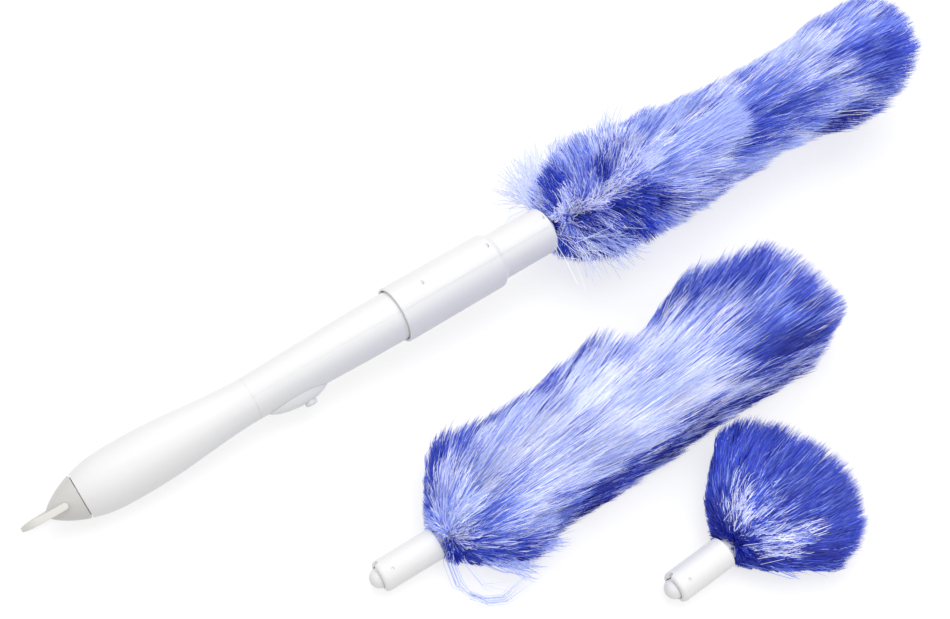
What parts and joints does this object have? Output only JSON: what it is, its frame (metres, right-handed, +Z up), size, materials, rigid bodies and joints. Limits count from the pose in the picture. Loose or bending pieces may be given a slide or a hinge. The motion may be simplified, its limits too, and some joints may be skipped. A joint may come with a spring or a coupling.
{
  "type": "electric spin duster",
  "caption": "Battery handle with a thumb button that spins a long fluffy duster head, with a medium head and a small fan head lying beside it.",
  "frame": {"origin": "middle of the base of the whole set, on the table", "axes": "+X along the handle towards the fluffy end, +Y away from the loose heads, +Z up"},
  "size_m": [0.7736, 0.3496, 0.1068],
  "materials": {
    "white_plastic": "satin white moulding",
    "cap_plastic": "satin warm grey moulding",
    "loop_plastic": "satin cream moulding",
    "button_plastic": "polished white moulding",
    "gear_plastic": "natural acetal",
    "dark_plastic": "matt black moulding",
    "board_green": "solder resist",
    "red_sleeve": "soft wire sleeve",
    "cell_jacket": "printed jacket, plain",
    "steel": "bright zinc",
    "brass": "plain brass",
    "copper": "enamelled copper winding",
    "ferrite": "sintered ferrite",
    "rubber": "black rubber",
    "pale_fluff": "fine lavender and blue fibre",
    "mixed_fluff": "fine fibre from white to royal blue",
    "royal_fluff": "fine royal blue fibre"
  },
  "bodies": {
    "handle": {"grip_shell": "white_plastic", "return_strip": "brass", "battery_rear": "cell_jacket", "battery_front": "cell_jacket", "front_contact": "brass", "barrel_shell_button_side": "white_plastic", "barrel_shell_back": "white_plastic", "thumb_pad": "white_plastic", "switch_body": "dark_plastic", "circuit_board": "board_green", "motor_lead_red": "red_sleeve", "motor_lead_black": "dark_plastic", "front_shell_button_side": "white_plastic", "front_shell_back": "white_plastic", "shell_screw_1": "steel", "shell_screw_2": "steel", "shell_screw_3": "steel", "shell_screw_4": "steel", "shell_screw_5": "steel", "shell_screw_6": "steel", "motor_can": "steel", "motor_end_bell": "dark_plastic", "magnet_left": "ferrite", "magnet_right": "ferrite", "gearbox_plate": "steel", "ring_gear": "gear_plastic", "spindle_bushing": "brass"},
    "battery_cap": {"tail_cap": "cap_plastic", "tail_contact": "steel", "tail_spring": "steel"},
    "hanging_loop": {"hang_loop": "loop_plastic"},
    "button": {"power_button": "button_plastic"},
    "rotor": {"motor_shaft": "steel", "armature_core": "copper", "commutator": "copper", "sun_gear_1": "brass"},
    "first_carrier": {"planet_carrier_1": "steel", "sun_gear_2": "brass"},
    "output": {"spindle": "steel", "drive_socket": "white_plastic", "grip_ring": "rubber"},
    "mounted_head": {"mounted_shank": "white_plastic", "mounted_dome_plug": "white_plastic", "mounted_core": "steel", "mounted_fluff": "mixed_fluff"},
    "medium_head": {"medium_shank": "white_plastic", "medium_dome_plug": "white_plastic", "medium_core": "steel", "medium_fluff": "pale_fluff"},
    "small_head": {"small_shank": "white_plastic", "small_dome_plug": "white_plastic", "small_core": "steel", "small_fluff": "royal_fluff"},
    "planet_1a": {"planet_gear_1a": "gear_plastic"},
    "planet_1b": {"planet_gear_1b": "gear_plastic"},
    "planet_1c": {"planet_gear_1c": "gear_plastic"},
    "planet_2a": {"planet_gear_2a": "gear_plastic"},
    "planet_2b": {"planet_gear_2b": "gear_plastic"},
    "planet_2c": {"planet_gear_2c": "gear_plastic"}
  },
  "joints": [
    {"name": "cap_pull", "type": "slide", "parent": "handle", "child": "battery_cap", "axis": [-0.9979, 0, -0.0651], "range_m": [0, 0.05]},
    {"name": "loop_swing", "type": "hinge", "parent": "battery_cap", "child": "hanging_loop", "pos_m": [-0.35928, 0.12979, 0.01711], "axis": [-0.0527, -0.5878, 0.8073], "range_deg": [-90, 90]},
    {"name": "button_press", "type": "slide", "parent": "handle", "child": "button", "axis": [-0.0364, 0.829, 0.558], "range_m": [0, 0.0016], "stiffness_N_per_m": 400},
    {"name": "spindle_turn", "type": "hinge", "parent": "handle", "child": "output", "pos_m": [-0.04994, 0.12979, 0.03729], "axis": [0.9979, 0, 0.0651], "continuous": true},
    {"name": "rotor_turn", "type": "hinge", "parent": "handle", "child": "rotor", "pos_m": [-0.10901, 0.12979, 0.03344], "axis": [0.9979, 0, 0.0651], "continuous": true},
    {"name": "carrier_turn", "type": "hinge", "parent": "handle", "child": "first_carrier", "pos_m": [-0.07598, 0.12979, 0.03559], "axis": [0.9979, 0, 0.0651], "continuous": true},
    {"name": "planet_1a_turn", "type": "hinge", "parent": "first_carrier", "child": "planet_1a", "pos_m": [-0.07637, 0.12576, 0.04155], "axis": [0.9979, 0, 0.0651], "continuous": true},
    {"name": "planet_1b_turn", "type": "hinge", "parent": "first_carrier", "child": "planet_1b", "pos_m": [-0.07556, 0.12663, 0.02914], "axis": [0.9979, 0, 0.0651], "continuous": true},
    {"name": "planet_1c_turn", "type": "hinge", "parent": "first_carrier", "child": "planet_1c", "pos_m": [-0.07602, 0.13697, 0.03609], "axis": [0.9979, 0, 0.0651], "continuous": true},
    {"name": "planet_2a_turn", "type": "hinge", "parent": "output", "child": "planet_2a", "pos_m": [-0.06779, 0.12576, 0.04211], "axis": [0.9979, 0, 0.0651], "continuous": true},
    {"name": "planet_2b_turn", "type": "hinge", "parent": "output", "child": "planet_2b", "pos_m": [-0.06698, 0.12663, 0.0297], "axis": [0.9979, 0, 0.0651], "continuous": true},
    {"name": "planet_2c_turn", "type": "hinge", "parent": "output", "child": "planet_2c", "pos_m": [-0.06744, 0.13697, 0.03665], "axis": [0.9979, 0, 0.0651], "continuous": true},
    {"name": "mounted_head_pull", "type": "slide", "parent": "output", "child": "mounted_head", "axis": [0.9979, 0, 0.0651], "range_m": [0, 0.05]},
    {"name": "medium_head_lift", "type": "slide", "parent": "handle", "child": "medium_head", "axis": [0, 0, 1], "range_m": [0, 0.12]},
    {"name": "small_head_lift", "type": "slide", "parent": "handle", "child": "small_head", "axis": [0, 0, 1], "range_m": [0, 0.12]}
  ],
  "couplings": [
    {"joint": "rotor_turn", "follows": "spindle_turn", "ratio": 16},
    {"joint": "carrier_turn", "follows": "spindle_turn", "ratio": 4},
    {"joint": "planet_1a_turn", "follows": "spindle_turn", "ratio": -12},
    {"joint": "planet_1b_turn", "follows": "spindle_turn", "ratio": -12},
    {"joint": "planet_1c_turn", "follows": "spindle_turn", "ratio": -12},
    {"joint": "planet_2a_turn", "follows": "spindle_turn", "ratio": -3},
    {"joint": "planet_2b_turn", "follows": "spindle_turn", "ratio": -3},
    {"joint": "planet_2c_turn", "follows": "spindle_turn", "ratio": -3}
  ]
}
